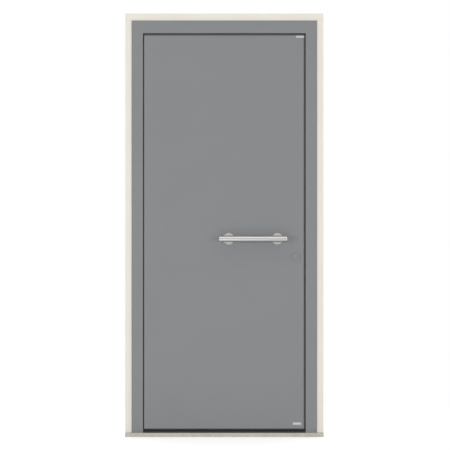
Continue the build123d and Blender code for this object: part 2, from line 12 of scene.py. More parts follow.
import bmesh
import bpy
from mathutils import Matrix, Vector


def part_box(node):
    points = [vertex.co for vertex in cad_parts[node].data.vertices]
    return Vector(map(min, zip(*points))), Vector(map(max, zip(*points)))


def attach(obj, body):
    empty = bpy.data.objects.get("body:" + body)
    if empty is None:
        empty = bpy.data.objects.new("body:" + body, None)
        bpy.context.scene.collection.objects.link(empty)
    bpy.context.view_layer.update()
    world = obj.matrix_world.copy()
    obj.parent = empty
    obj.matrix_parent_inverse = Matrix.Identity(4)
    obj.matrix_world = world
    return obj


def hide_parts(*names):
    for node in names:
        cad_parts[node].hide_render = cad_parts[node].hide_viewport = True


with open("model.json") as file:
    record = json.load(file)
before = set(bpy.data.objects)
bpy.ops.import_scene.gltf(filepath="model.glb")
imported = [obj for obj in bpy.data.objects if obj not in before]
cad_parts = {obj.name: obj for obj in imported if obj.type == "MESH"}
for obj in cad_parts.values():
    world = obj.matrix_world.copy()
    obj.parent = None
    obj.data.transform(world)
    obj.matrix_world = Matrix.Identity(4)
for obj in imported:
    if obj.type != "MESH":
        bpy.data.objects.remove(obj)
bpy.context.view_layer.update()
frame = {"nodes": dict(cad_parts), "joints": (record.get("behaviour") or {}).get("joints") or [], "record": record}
scene = bpy.context.scene
scene.view_settings.view_transform = "Standard"

# %% [markdown]
# ## The camera
#
# The picture is a straight elevation: upright edges stay upright and the two sides match. A lens
# that is very long and far away gives that and still keeps a little depth. Two readings from the
# picture fix its place: how wide the grey frame is in pixels, and where the top of the sill lies.

# %% Camera
PICTURE_PIXELS = 450
FRAME_LEFT_PIXEL = 131.7
FRAME_RIGHT_PIXEL = 316.93
SILL_TOP_PIXEL = 432.7
LENS = 200.0
SENSOR = 36.0
SIGHT = 10.0

face_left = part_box("left_frame_cladding")[0]
face_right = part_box("right_frame_cladding")[1]
sill_low, sill_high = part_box("sill")
metres_per_pixel = (face_right.x - face_left.x) / (FRAME_RIGHT_PIXEL - FRAME_LEFT_PIXEL)
middle_pixel = PICTURE_PIXELS / 2
door_middle_pixel = (FRAME_LEFT_PIXEL + FRAME_RIGHT_PIXEL) / 2
camera_x = (middle_pixel - door_middle_pixel) * metres_per_pixel
camera_z = sill_high.z + (SILL_TOP_PIXEL - middle_pixel) * metres_per_pixel
camera_away = PICTURE_PIXELS * metres_per_pixel * LENS / SENSOR

lens = bpy.data.cameras.new("elevation")
lens.lens = LENS
lens.sensor_width = SENSOR
lens.clip_end = SIGHT * camera_away
camera = bpy.data.objects.new("elevation", lens)
camera.location = (camera_x, face_left.y - camera_away, camera_z)
camera.rotation_euler = (math.pi / 2, 0, 0)
scene.collection.objects.link(camera)
scene.camera = camera
print("camera stands", round(camera_away, 2), "m away at", round(camera_z, 3), "m")

# %% [markdown]
# ## Building node trees
#
# Every finish here is a tree of nodes. Making nodes one call at a time hides the idea under
# bookkeeping, so this small helper adds a node, makes its settings and feeds its inputs in one
# line. It serves materials, shader groups and Geometry Nodes alike.

# %% Tree helper
MIX_COLOURS = 6
MIXED_COLOUR = 2


class Tree:
    """Adds nodes to one node tree and joins them, so that a recipe reads from top to bottom."""

    def __init__(self, node_tree):
        self.node_tree = node_tree

    def feed(self, socket, value):
        if isinstance(value, bpy.types.NodeSocket):
            self.node_tree.links.new(value, socket)
        else:
            socket.default_value = value

    def feed_all(self, sockets, **values):
        for name, value in values.items():
            self.feed(sockets[name.replace("_", " ")], value)

    def add(self, kind, *values, **named):
        """A node: values feed its first inputs, capital names feed inputs, others are settings."""
        node = self.node_tree.nodes.new(kind)
        for name in [name for name in named if name.islower()]:
            setattr(node, name, named.pop(name))
        for socket, value in zip(node.inputs, values):
            self.feed(socket, value)
        self.feed_all(node.inputs, **named)
        return node

    def shader(self, kind, *values, **named):
        return self.add("ShaderNode" + kind, *values, **named).outputs[0]

    def geometry(self, kind, **named):
        return self.add("GeometryNode" + kind, **named).outputs[0]

    def group(self, node_tree, **inputs):
        return self.add("ShaderNodeGroup", node_tree=node_tree, **inputs).outputs

    def math(self, operation, *values):
        return self.shader("Math", *values, operation=operation)

    def multiply(self, first, second):
        return self.math("MULTIPLY", first, second)

    def blend(self, first, first_share, second, second_share):
        """Two values added up, each by its share."""
        return self.math("MULTIPLY_ADD", first, first_share, self.multiply(second, second_share))

    def remap(self, value, low, high, new_low=0.0, new_high=1.0):
        return self.shader("MapRange", value, low, high, new_low, new_high)

    def vector_math(self, operation, *values, **named):
        return self.shader("VectorMath", *values, operation=operation, **named)

    def length(self, vector):
        return self.add("ShaderNodeVectorMath", vector, operation="LENGTH").outputs["Value"]

    def split(self, vector):
        return self.add("ShaderNodeSeparateXYZ", vector).outputs

    def join(self, x, y, z):
        return self.shader("CombineXYZ", x, y, z)

    def noise(self, vector, scale=1.0, detail=2.0, distortion=0.0):
        inputs = {"Vector": vector, "Scale": scale, "Detail": detail, "Distortion": distortion}
        return self.shader("TexNoise", **inputs)

    def mix(self, factor, first, second):
        node = self.add("ShaderNodeMix", factor, data_type="RGBA")
        for socket, colour in zip(node.inputs[MIX_COLOURS:], (first, second)):
            self.feed(socket, colour)
        return node.outputs[MIXED_COLOUR]


def rgba(red, green, blue):
    return (red, green, blue, 1.0)


print("helper:", Tree.__name__)

# %% [markdown]
# ## Floor, air and lamps
#
# The picture has a clean white ground. The floor is pale and takes a soft shadow close to the
# door, then melts into white further out. The air is white where the camera or a reflection sees
# it, and a plain grey light otherwise. Large soft lamps in front and behind add the rest, at a
# level where a colour comes out about as it is written. A small lamp low in front stands for the
# light that a pale path throws up, so that the grey stays even down to the foot.

# %% Floor and air
FLOOR_HALF = 40.0
FLOOR_DROP = 0.0005
FLOOR_COLOUR = rgba(0.92, 0.92, 0.92)
FLOOR_SHADE_NEAR = 0.9
FLOOR_SHADE_FAR = 2.6
FLOOR_LIFT = 0.43
AIR_LIGHT = 0.5


def seen_directly(tree):
    """1 where the camera, a reflection or glass sees the ground, 0 for the light it gives."""
    ray = tree.add("ShaderNodeLightPath").outputs
    seen = tree.math("MAXIMUM", ray["Is Camera Ray"], ray["Is Glossy Ray"])
    return tree.math("MAXIMUM", seen, ray["Is Transmission Ray"])


def make_floor():
    side = FLOOR_HALF
    corners = [(-side, -side), (side, -side), (side, side), (-side, side)]
    mesh = bpy.data.meshes.new("floor")
    mesh.from_pydata([(x, y, -FLOOR_DROP) for x, y in corners], [], [(0, 1, 2, 3)])
    material = bpy.data.materials.new("pale_floor")
    material.use_nodes = True
    tree = Tree(material.node_tree)
    place = tree.add("ShaderNodeTexCoord").outputs["Object"]
    melt = tree.remap(tree.length(place), FLOOR_SHADE_NEAR, FLOOR_SHADE_FAR)
    matt = tree.shader("BsdfDiffuse", Color=FLOOR_COLOUR)
    shaded = tree.shader("AddShader", matt, tree.shader("Emission", Strength=FLOOR_LIFT))
    near_to_far = tree.shader("MixShader", melt, shaded, tree.shader("Emission"))
    final = tree.shader("MixShader", seen_directly(tree), matt, near_to_far)
    tree.feed(material.node_tree.nodes["Material Output"].inputs["Surface"], final)
    mesh.materials.append(material)
    floor = bpy.data.objects.new("floor", mesh)
    scene.collection.objects.link(floor)


def make_air():
    world = bpy.data.worlds.new("studio_air")
    world.use_nodes = True
    tree = Tree(world.node_tree)
    strength = tree.remap(seen_directly(tree), 0, 1, AIR_LIGHT, 1)
    background = world.node_tree.nodes["Background"]
    tree.feed_all(background.inputs, Color=rgba(1, 1, 1), Strength=strength)
    scene.world = world


make_floor()
make_air()
print("floor and air are in place")

# %% Soft lamps
LAMPS = {
    "front_left": ((-3.6, -5.8, 1.15), 2.6, 111.0),
    "front_right": ((3.8, -5.4, 0.95), 2.2, 69.0),
    "overhead": ((0.0, -2.6, 5.4), 2.4, 26.0),
    "foot_fill": ((0.0, -1.5, 0.17), 0.3, 1.3),
    "back_left": ((-3.6, 5.4, 2.2), 2.6, 90.0),
    "back_right": ((3.8, 5.6, 2.4), 2.6, 90.0),
}

for name, (place, size, power) in LAMPS.items():
    light = bpy.data.lights.new(name, "AREA")
    light.shape = "SQUARE"
    light.size = size
    light.energy = power
    lamp = bpy.data.objects.new(name, light)
    lamp.location = place
    aim = Vector((0, 0, camera_z)) - lamp.location
    lamp.rotation_euler = aim.to_track_quat("-Z", "Y").to_euler()
    lamp.visible_camera = False
    scene.collection.objects.link(lamp)
print("lamps:", ", ".join(LAMPS))

# %% [markdown]
# ## Effects that several finishes share
#
# Powder coat, paint and rubber all have a fine pebbled skin. Steel and aluminium have brushed
# lines. All the timber has the same oak figure. Dust gathers low down on everything that stands
# outside. Each of these is one shader group with named inputs, and each finish sets its own sizes.

# %% Recipe helper
SOCKET_KINDS = {tuple: "NodeSocketVector", float: "NodeSocketFloat", int: "NodeSocketInt"}


class Recipe(Tree):
    """A named tree with its own sockets. An input is listed with its first value or its kind."""

    def __init__(self, name, kind, inputs, outputs):
        super().__init__(bpy.data.node_groups.new(name, kind))
        sockets = self.node_tree.interface
        for socket_name, value in inputs.items():
            socket_kind = SOCKET_KINDS.get(type(value), value)
            socket = sockets.new_socket(socket_name, in_out="INPUT", socket_type=socket_kind)
            if socket_kind != value:
                socket.default_value = value
        for socket_name, socket_kind in outputs.items():
            sockets.new_socket(socket_name, in_out="OUTPUT", socket_type=socket_kind)
        self.given = self.add("NodeGroupInput").outputs
        self.result = self.add("NodeGroupOutput").inputs

    def __getitem__(self, name):
        return self.given[name]

    def done(self, **values):
        """Feeds the results, and gives back the finished node tree."""
        self.feed_all(self.result, **values)
        print("tree:", self.node_tree.name)
        return self.node_tree


def shader_group(name, sizes, *outputs):
    """A shader group that reads a place and its sizes, and puts out values."""
    inputs = {"Place": (0.0, 0.0, 0.0), **sizes}
    return Recipe(name, "ShaderNodeTree", inputs, dict.fromkeys(outputs, "NodeSocketFloat"))


print("helper:", Recipe.__name__)


# %% Fine texture
def make_fine_texture():
    """A skin of small rounded pimples, each about as wide as the grain."""
    tree = shader_group("fine_texture", {"Grain": 0.001}, "Height", "Tone")
    shrink = tree.math("DIVIDE", 1.0, tree["Grain"])
    small = tree.vector_math("SCALE", tree["Place"], Scale=shrink)
    pimple = tree.shader("TexVoronoi", Vector=small, Scale=1.0)
    grit = tree.noise(small, scale=1.7, detail=2)
    height = tree.remap(tree.math("MULTIPLY_ADD", pimple, -0.6, grit), -0.4, 0.9)
    return tree.done(Height=height, Tone=tree.noise(small, scale=0.35, detail=3))


fine_texture = make_fine_texture()

# %% Brushed lines
BROAD_SHARE = 0.12


def make_brushed_lines():
    """Long fine scratches that run along X of the place it is given."""
    tree = shader_group("brushed_lines", {"Width": 0.0004, "Length": 0.03}, "Line", "Tone")
    line_size = tree.join(tree["Length"], tree["Width"], tree["Width"])
    fine = tree.vector_math("DIVIDE", tree["Place"], line_size)
    broad = tree.vector_math("SCALE", fine, Scale=BROAD_SHARE)
    line = tree.remap(tree.noise(fine, detail=3), 0.3, 0.7)
    return tree.done(Line=line, Tone=tree.noise(broad, detail=2))


brushed_lines = make_brushed_lines()

# %% Oak figure
BOARD_KEY = 0.37
TREES_APART = 37.0
SWAY_PACE = 0.9
HEART_SWAY = 0.055
HEART_DEPTH = 0.045
WOBBLE_PACE = (14.0, 14.0, 1.6)
RING_WOBBLE = 0.012
SPRING_SHARE = 0.42
LATE_EDGE = 0.9
PORE_PACE = (1300.0, 1300.0, 45.0)
FLECK_PACE = (240.0, 240.0, 32.0)


def make_oak_figure():
    """Boards side by side along X, each cut from its own tree whose heart runs along Z."""
    sizes = {"Board": 0.15, "Ring": 0.005, "Seed": 0.0}
    tree = shader_group("oak_figure", sizes, "Rings", "Pores", "Flecks", "Tone")
    x, y, z = tree.split(tree["Place"])

    board = tree.math("FLOOR", tree.math("DIVIDE", x, tree["Board"]))
    board_middle = tree.multiply(tree.math("ADD", board, 0.5), tree["Board"])
    across = tree.math("SUBTRACT", x, board_middle)
    key = tree.join(board, tree["Seed"], BOARD_KEY)
    chance = tree.add("ShaderNodeTexWhiteNoise", Vector=key, noise_dimensions="3D")
    luck_side, luck_depth, luck_tone = tree.split(chance.outputs["Color"])

    heart_side = tree.multiply(tree.math("SUBTRACT", luck_side, 0.5), tree["Board"])
    far_along = tree.math("MULTIPLY_ADD", luck_depth, TREES_APART, z)
    sway_place = tree.join(tree.multiply(far_along, SWAY_PACE), luck_tone, luck_side)
    sway = tree.remap(tree.noise(sway_place, detail=1), 0.25, 0.75, -HEART_SWAY, HEART_SWAY)
    side = tree.math("SUBTRACT", across, heart_side)
    depth = tree.math("SUBTRACT", y, tree.math("SUBTRACT", sway, HEART_DEPTH))
    radius = tree.length(tree.join(side, depth, 0.0))

    wood_place = tree.join(x, y, far_along)
    slow, hair, ray = [
        tree.noise(tree.vector_math("MULTIPLY", wood_place, pace), detail=detail)
        for pace, detail in ((WOBBLE_PACE, 3), (PORE_PACE, 2), (FLECK_PACE, 1))
    ]
    wobble = tree.remap(slow, 0.0, 1.0, -RING_WOBBLE, RING_WOBBLE)
    growth = tree.math("DIVIDE", tree.math("ADD", radius, wobble), tree["Ring"])
    season = tree.math("FRACT", growth)
    spring = tree.remap(season, 0.0, SPRING_SHARE, 1.0, 0.0)
    rings = tree.math("MAXIMUM", spring, tree.remap(season, LATE_EDGE, 1.0))
    crowd = tree.math("MULTIPLY_ADD", rings, 0.75, 0.25)
    pores = tree.multiply(tree.remap(hair, 0.52, 0.66), crowd)
    flecks = tree.remap(ray, 0.64, 0.72)
    return tree.done(Rings=rings, Pores=pores, Flecks=flecks, Tone=luck_tone)


oak_figure = make_oak_figure()


# %% Foot dust
def make_foot_dust():
    """A patchy mask that is full at the ground and gone above its reach."""
    tree = shader_group("foot_dust", {"Reach": 0.2}, "Dust")
    height = tree.split(tree["Place"])["Z"]
    low = tree.remap(tree.math("DIVIDE", height, tree["Reach"]), 0.0, 1.0, 1.0, 0.0)
    patch = tree.remap(tree.noise(tree["Place"], scale=45.0, detail=5), 0.3, 0.75, 0.2, 1.0)
    return tree.done(Dust=tree.multiply(tree.math("POWER", low, 2.0), patch))


foot_dust = make_foot_dust()

# %% [markdown]
# ## Finishes
#
# A finish is one Principled shader. What changes over the surface, such as colour, roughness and
# bump, comes from the groups. What is the same all over is set on the shader itself. Places are
# read in object coordinates: every piece of the door sits at the origin, so these are metres in
# the door's own frame, and a pattern stays on its piece when the leaf swings.

# %% Finish helper
DUST_COLOUR = rgba(0.42, 0.39, 0.34)


class Finish(Tree):
    """A material in the making: its tree, its shader's inputs and the place on the object."""

    def __init__(self, name, **sockets):
        self.material = bpy.data.materials.new(name)
        self.material.use_nodes = True
        super().__init__(self.material.node_tree)
        self.inputs = self.node_tree.nodes["Principled BSDF"].inputs
        self.feed_all(self.inputs, **sockets)
        self.place = self.add("ShaderNodeTexCoord").outputs["Object"]

    def group(self, node_tree, **inputs):
        return super().group(node_tree, **{"Place": self.place, **inputs})

    def cloud(self, scale, detail, distortion=0.0):
        return self.noise(self.place, scale, detail, distortion)

    def along(self, axis):
        """The place with one axis turned to X, for lines that run along it."""
        axes = self.split(self.place)
        first, second = [other for other in "XYZ" if other != axis]
        return self.join(axes[axis], axes[first], axes[second])

    def from_middle(self, node):
        """The three axes of the place, counted from the middle of a node."""
        low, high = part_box(node)
        return self.split(self.vector_math("SUBTRACT", self.place, tuple((low + high) / 2)))

    def tinted(self, colour, mask, share, tint):
        return self.mix(self.multiply(mask, share), colour, tint)

    def dusted(self, colour, reach, share):
        dust = self.group(foot_dust, Reach=reach)["Dust"]
        return self.tinted(colour, dust, share, DUST_COLOUR)

    def coat(self, colour, gloss, roughness, height, strength, depth):
        """The finished material: roughness runs between two values by gloss, bump follows height."""
        rough = self.remap(gloss, 0, 1, *roughness)
        relief = self.shader("Bump", Height=height, Strength=strength, Distance=depth)
        self.feed_all(self.inputs, Base_Color=colour, Roughness=rough, Normal=relief)
        print("finish:", self.material.name)
        return self.material


print("helper:", Finish.__name__)

# %% [markdown]
# ### Grey powder coat
#
# The frame and the leaf share one grey: polyester powder that is sprayed on aluminium and baked.
# Close up it is a dry skin of tiny pimples, and from a step away it is dead even. So the bump is
# fine and the colour hardly moves.

# %% Grey powder coat
POWDER_TONES = rgba(0.212, 0.216, 0.224), rgba(0.244, 0.248, 0.256)
POWDER_GRAIN = 0.0009
POWDER_DEPTH = 0.00006


def grey_powder_coat():
    finish = Finish("grey_powder_coat")
    skin = finish.group(fine_texture, Grain=POWDER_GRAIN)
    tone = finish.blend(skin["Tone"], 0.7, finish.cloud(scale=3.0, detail=3), 0.3)
    colour = finish.mix(finish.remap(tone, 0.25, 0.75), *POWDER_TONES)
    colour = finish.dusted(colour, reach=0.16, share=0.05)
    height = skin["Height"]
    return finish.coat(colour, height, (0.66, 0.52), height, strength=0.5, depth=POWDER_DEPTH)


powder = grey_powder_coat()

# %% [markdown]
# ### Cream paint
#
# The surround is painted timber. Satin paint dries with faint lines along the stroke and a soft
# orange peel, and it takes a little dirt near the ground.

# %% Cream paint
CREAM_TONES = rgba(0.81, 0.765, 0.675), rgba(0.86, 0.82, 0.735)
STROKE = {"Width": 0.0016, "Length": 0.14}
PEEL_GRAIN = 0.0025
PAINT_DEPTH = 0.00008


def cream_paint(name, along):
    finish = Finish(name)
    stroke = finish.group(brushed_lines, Place=finish.along(along), **STROKE)
    peel = finish.group(fine_texture, Grain=PEEL_GRAIN)
    tone = finish.blend(stroke["Tone"], 0.5, finish.cloud(scale=7.0, detail=4), 0.5)
    colour = finish.mix(finish.remap(tone, 0.3, 0.7), *CREAM_TONES)
    colour = finish.dusted(colour, reach=0.22, share=0.05)
    height = finish.math("MULTIPLY_ADD", stroke["Line"], 0.6, peel["Height"])
    return finish.coat(colour, stroke["Line"], (0.5, 0.4), height, strength=0.4, depth=PAINT_DEPTH)


cream_upright = cream_paint("cream_paint_upright", "Z")
cream_level = cream_paint("cream_paint_level", "X")

# %% [markdown]
# ### Stone
#
# The sill is a slab of honed stone in warm grey. Its face is a crowd of small grains with a few
# dark specks, over slow clouds of colour. Its upper front edge is painted paler: partly stone
# rubbed by feet and rain, partly a painted highlight where the rounded edge catches the light.

# %% Sill stone
STONE_DARK = rgba(0.42, 0.39, 0.335)
STONE_MID = rgba(0.53, 0.495, 0.43)
STONE_PALE = rgba(0.63, 0.6, 0.53)
STONE_SPECK = rgba(0.14, 0.13, 0.115)
STONE_GRAIN = 0.0018
STONE_DEPTH = 0.0002
# Size of the paler upper front edge, which is wear and a painted highlight.
PALE_EDGE_DEPTH = 0.012
PALE_EDGE_HEIGHT = 0.007
PALE_EDGE_BARE = 0.001


def worn_and_highlight_edge(finish):
    """A mask along the upper front edge of the sill: worn paler, and a painted highlight."""
    axes = finish.split(finish.place)
    front = finish.remap(axes["Y"], sill_low.y, sill_low.y + PALE_EDGE_DEPTH, 1.0, 0.0)
    top = finish.remap(axes["Z"], sill_high.z - PALE_EDGE_HEIGHT, sill_high.z - PALE_EDGE_BARE)
    return finish.multiply(front, top)


def sill_stone():
    finish = Finish("honed_stone")
    small = finish.vector_math("SCALE", finish.place, Scale=1.0 / STONE_GRAIN)
    grains = finish.add("ShaderNodeTexVoronoi", Vector=small, Scale=1.0).outputs
    grain_tone = finish.split(grains["Color"])[0]
    cloud = finish.cloud(scale=16.0, detail=6, distortion=0.4)
    tone = finish.blend(grain_tone, 0.45, cloud, 0.75)
    speck = finish.remap(finish.cloud(scale=420.0, detail=2), 0.66, 0.72)
    colour = finish.mix(finish.remap(tone, 0.2, 0.55), STONE_DARK, STONE_MID)
    colour = finish.mix(finish.remap(tone, 0.55, 0.95), colour, STONE_PALE)
    colour = finish.tinted(colour, speck, 0.7, STONE_SPECK)
    # The upper front edge is tinted paler: rubbed stone, and a painted highlight.
    colour = finish.tinted(colour, worn_and_highlight_edge(finish), 0.5, STONE_PALE)
    gloss = finish.remap(tone, 0.2, 0.9)
    pits = finish.blend(speck, -0.8, grain_tone, 0.4)
    return finish.coat(colour, gloss, (0.82, 0.62), pits, strength=0.6, depth=STONE_DEPTH)


stone = sill_stone()

# %% [markdown]
# ### Black threshold, rubber and foam
#
# The threshold is drawn aluminium, anodised black, with die lines along its length. The gaskets
# are dull rubber with a dusty bloom. The core is closed in, and gets a pale foam all the same.

# %% Threshold, rubber and foam
ANODISED_TONES = rgba(0.024, 0.024, 0.0245), rgba(0.036, 0.036, 0.0365)
DIE_LINE = {"Width": 0.0005, "Length": 0.25}
DIE_LINE_DEPTH = 0.00003
BLACK_RUBBER = rgba(0.012, 0.012, 0.012), rgba(0.026, 0.026, 0.027)
GREY_RUBBER = rgba(0.125, 0.125, 0.128), rgba(0.16, 0.16, 0.163)
RUBBER_GRAIN = 0.0007
RUBBER_DEPTH = 0.00005
FOAM_TONES = rgba(0.55, 0.47, 0.28), rgba(0.68, 0.6, 0.4)
FOAM_CELL = 0.003
FOAM_DEPTH = 0.0006


def black_aluminium():
    finish = Finish("anodised_black", Specular_IOR_Level=0.2)
    lines = finish.group(brushed_lines, **DIE_LINE)
    colour = finish.mix(lines["Tone"], *ANODISED_TONES)
    colour = finish.dusted(colour, reach=0.06, share=0.03)
    height = lines["Line"]
    return finish.coat(colour, height, (0.55, 0.4), height, strength=0.4, depth=DIE_LINE_DEPTH)


def seal_rubber(name, tones):
    finish = Finish(name)
    height = finish.group(fine_texture, Grain=RUBBER_GRAIN)["Height"]
    bloom = finish.remap(finish.cloud(scale=60.0, detail=4), 0.35, 0.8)
    colour = finish.mix(bloom, *tones)
    return finish.coat(colour, bloom, (0.6, 0.8), height, strength=0.4, depth=RUBBER_DEPTH)


def foam_core():
    finish = Finish("insulating_foam")
    cells = finish.group(fine_texture, Grain=FOAM_CELL)
    tone, height = cells["Tone"], cells["Height"]
    colour = finish.mix(tone, *FOAM_TONES)
    return finish.coat(colour, tone, (0.85, 0.95), height, strength=0.7, depth=FOAM_DEPTH)


threshold_black = black_aluminium()
rubber = seal_rubber("black_seal_rubber", BLACK_RUBBER)
grey_rubber = seal_rubber("grey_seal_rubber", GREY_RUBBER)
foam = foam_core()

# %% [markdown]
# ### Oak
#
# The room side is oiled oak. Frame and leaf are glued up from lamellas, so an edge shows bands,
# each with its own figure. The facing is veneer laid in upright leaves. One recipe does all: it
# is told which way the boards lie, and it puts dark pores in the open wood of each spring ring.

# %% Oak
OAK_PALE = rgba(0.56, 0.37, 0.195)
OAK_MID = rgba(0.43, 0.255, 0.12)
OAK_DARK = rgba(0.29, 0.158, 0.07)
OAK_PORE = rgba(0.14, 0.072, 0.03)
OAK_DEPTH = 0.0001
LAMELLA = {"Board": 0.026, "Ring": 0.0045}
VENEER = {"Board": 0.157, "Ring": 0.0062}
UPRIGHT_TIMBER = ["left_frame_post", "right_frame_post", "hinge_stile", "lock_stile"]
LEVEL_TIMBER = ["frame_head", "top_rail", "bottom_rail"]
VENEER_SEED = 3.0
UPRIGHT_SEED = 10.0
LEVEL_SEED = 20.0


def oak(node, board_axes, seed, sizes):
    """Oiled oak for one node. The axes run across the boards, through them and along the grain."""
    finish = Finish(f"oak_{node}")
    axes = finish.from_middle(node)
    board_place = finish.join(*[axes[axis] for axis in board_axes])
    wood = finish.group(oak_figure, Place=board_place, Seed=seed, **sizes)
    rings, pores = wood["Rings"], wood["Pores"]
    ground = finish.blend(wood["Tone"], 0.55, finish.cloud(scale=2.2, detail=3), 0.5)
    colour = finish.mix(finish.remap(ground, 0.15, 0.95), OAK_PALE, OAK_MID)
    colour = finish.tinted(colour, rings, 0.42, OAK_DARK)
    colour = finish.tinted(colour, wood["Flecks"], 0.25, OAK_PALE)
    colour = finish.tinted(colour, pores, 0.62, OAK_PORE)
    relief = finish.blend(rings, -0.3, pores, -0.7)
    return finish.coat(colour, pores, (0.46, 0.7), relief, strength=0.5, depth=OAK_DEPTH)


oaks = {"inner_facing": oak("inner_facing", "XYZ", VENEER_SEED, VENEER)}
for count, node in enumerate(UPRIGHT_TIMBER):
    oaks[node] = oak(node, "YXZ", UPRIGHT_SEED + count, LAMELLA)
for count, node in enumerate(LEVEL_TIMBER):
    oaks[node] = oak(node, "YZX", LEVEL_SEED + count, LAMELLA)

# %% [markdown]
# ### Stainless steel
#
# Bars and plates are brushed along their length, and round plates are turned, so their lines run
# in circles. Both are the same steel: only the place that the lines are drawn in changes.

# %% Stainless steel
STEEL_TONES = rgba(0.40, 0.396, 0.388), rgba(0.55, 0.545, 0.535)
ALUMINIUM_TONES = rgba(0.42, 0.425, 0.435), rgba(0.58, 0.585, 0.595)
LINE_WIDTH = 0.0004
LINE_LENGTH = 0.05
LINE_DEPTH = 0.00002
TURN_LENGTH = 0.02
TURNED = [
    "pull_bar_left_post", "pull_bar_right_post", "inside_lever_rosette", "inside_cylinder_rosette",
]


def lined(finish, line_place, length, tones):
    """Brushed lines along X of a place, in colour, gloss and bump."""
    lines = finish.group(brushed_lines, Place=line_place, Width=LINE_WIDTH, Length=length)
    tone = finish.blend(lines["Line"], 0.5, lines["Tone"], 0.5)
    colour = finish.mix(tone, *tones)
    return finish.coat(colour, tone, (0.38, 0.26), lines["Line"], strength=0.35, depth=LINE_DEPTH)


def brushed_metal(name, along, tones):
    finish = Finish(name, Metallic=1.0)
    return lined(finish, finish.along(along), LINE_LENGTH, tones)


def turned_steel(node):
    """Circular lines about the middle of a round plate that lies on the leaf."""
    finish = Finish(f"turned_steel_{node}", Metallic=1.0)
    axes = finish.from_middle(node)
    flat = finish.join(axes["X"], 0.0, axes["Z"])
    heading = finish.split(finish.vector_math("NORMALIZE", flat))
    turn = finish.multiply(heading["X"], TURN_LENGTH)
    rise = finish.math("ADD", finish.length(flat), axes["Y"])
    drift = finish.multiply(heading["Z"], LINE_WIDTH)
    return lined(finish, finish.join(turn, rise, drift), TURN_LENGTH, STEEL_TONES)


steel_x = brushed_metal("brushed_steel_x", "X", STEEL_TONES)
steel_z = brushed_metal("brushed_steel_z", "Z", STEEL_TONES)
plate_aluminium = brushed_metal("brushed_aluminium", "X", ALUMINIUM_TONES)
turned = {node: turned_steel(node) for node in TURNED}

# %% [markdown]
# ### Lock cylinder
#
# The outer end of the cylinder wears the grey of the leaf and all but vanishes in it. The rest of
# it is plain steel. One mask across the thickness of the leaf turns the metal into paint.

# %% Lock cylinder
PAINTED_END = 0.001
CYLINDER_DEPTH = 0.00004


def lock_cylinder():
    finish = Finish("lock_cylinder_steel")
    across_leaf = finish.split(finish.place)["Y"]
    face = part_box("leaf_cladding")[0].y
    painted = finish.remap(across_leaf, face, face + PAINTED_END, 1.0, 0.0)
    skin = finish.group(fine_texture, Grain=POWDER_GRAIN)
    tone, height = skin["Tone"], skin["Height"]
    steel, paint = finish.mix(tone, *STEEL_TONES), finish.mix(tone, *POWDER_TONES)
    colour = finish.mix(painted, steel, paint)
    finish.feed(finish.inputs["Metallic"], finish.remap(painted, 0, 1, 1.0, 0.0))
    return finish.coat(colour, painted, (0.32, 0.58), height, strength=0.3, depth=CYLINDER_DEPTH)


cylinder_finish = lock_cylinder()

# %% [markdown]
# ## Dressing the CAD pieces
#
# Each node keeps its shape and takes a finish in its material slot. Hinges, bolts and lock plates
# aren't listed: what is left over is steel that is brushed upright.

# %% Finishes by node
finish_of = {
    "sill": stone,
    "threshold": threshold_black,
    "left_surround_post": cream_upright,
    "right_surround_post": cream_upright,
    "surround_head": cream_level,
    "leaf_core": foam,
    "step_gasket": rubber,
    "overlap_gasket": rubber,
    "outside_cylinder_rosette": powder,
    "lock_cylinder": cylinder_finish,
    "inside_lever": steel_x,
    "pull_bar": steel_x,
    **oaks,
    **turned,
}
for node, cad_object in frame["nodes"].items():
    usual = powder if "cladding" in node else steel_z
    cad_object.material_slots[0].material = finish_of.setdefault(node, usual)
print("dressed:", len(finish_of), "of", len(frame["nodes"]))

# %% [markdown]
# ## Growing what repeats
#
# Screws, washers and rubber strips repeat or follow a path, so Geometry Nodes make them. A tree
# gets named inputs for its sizes, grows on a few points or edges that carry the places, and its
# result is kept as one plain mesh. That way nothing is copied by hand and a size is set once.

# %% Growing helper
WELD = 1e-6


class Growth(Recipe):
    """A Geometry Nodes tree with a carrier, its named sizes and a finish."""

    def __init__(self, name, sizes):
        inputs = {"Carrier": "NodeSocketGeometry", **sizes, "Finish": "NodeSocketMaterial"}
        super().__init__(name, "GeometryNodeTree", inputs, {"Grown": "NodeSocketGeometry"})

    def function(self, kind, *values, **named):
        return self.add("FunctionNode" + kind, *values, **named).outputs[0]

    def circle(self, steps, radius):
        return self.geometry("CurvePrimitiveCircle", Resolution=steps, Radius=radius)

    def rectangle(self, width, height):
        return self.geometry("CurvePrimitiveQuadrilateral", Width=width, Height=height)

    def softened(self, curve, steps, radius):
        return self.geometry("FilletCurve", Curve=curve, Count=steps, Radius=radius, mode="POLY")

    def filled(self, curve):
        return self.geometry("FillCurve", Curve=curve)

    def shifted(self, part, x=0.0, y=0.0, z=0.0):
        return self.geometry("Transform", Geometry=part, Translation=self.join(x, y, z))

    def together(self, *parts):
        node = self.add("GeometryNodeJoinGeometry")
        for part in parts:
            self.feed(node.inputs[0], part)
        return node.outputs[0]

    def welded(self, *parts):
        """Several geometries as one, with the points that meet made one."""
        return self.geometry("MergeByDistance", Geometry=self.together(*parts), Distance=WELD)

    def mark(self, name, kind):
        return self.geometry("InputNamedAttribute", Name=name, data_type=kind)

    def planted(self, piece, **turn):
        return self.geometry("InstanceOnPoints", Points=self["Carrier"], Instance=piece, **turn)

    def dressed(self, geometry):
        """The end of every tree: real geometry in place of instances, and its material."""
        real = self.geometry("RealizeInstances", Geometry=geometry)
        return self.done(Grown=self.geometry("SetMaterial", Geometry=real, Material=self["Finish"]))


print("helper:", Growth.__name__)

# %% Tools for grown pieces
SHARP_ANGLE = math.radians(38)


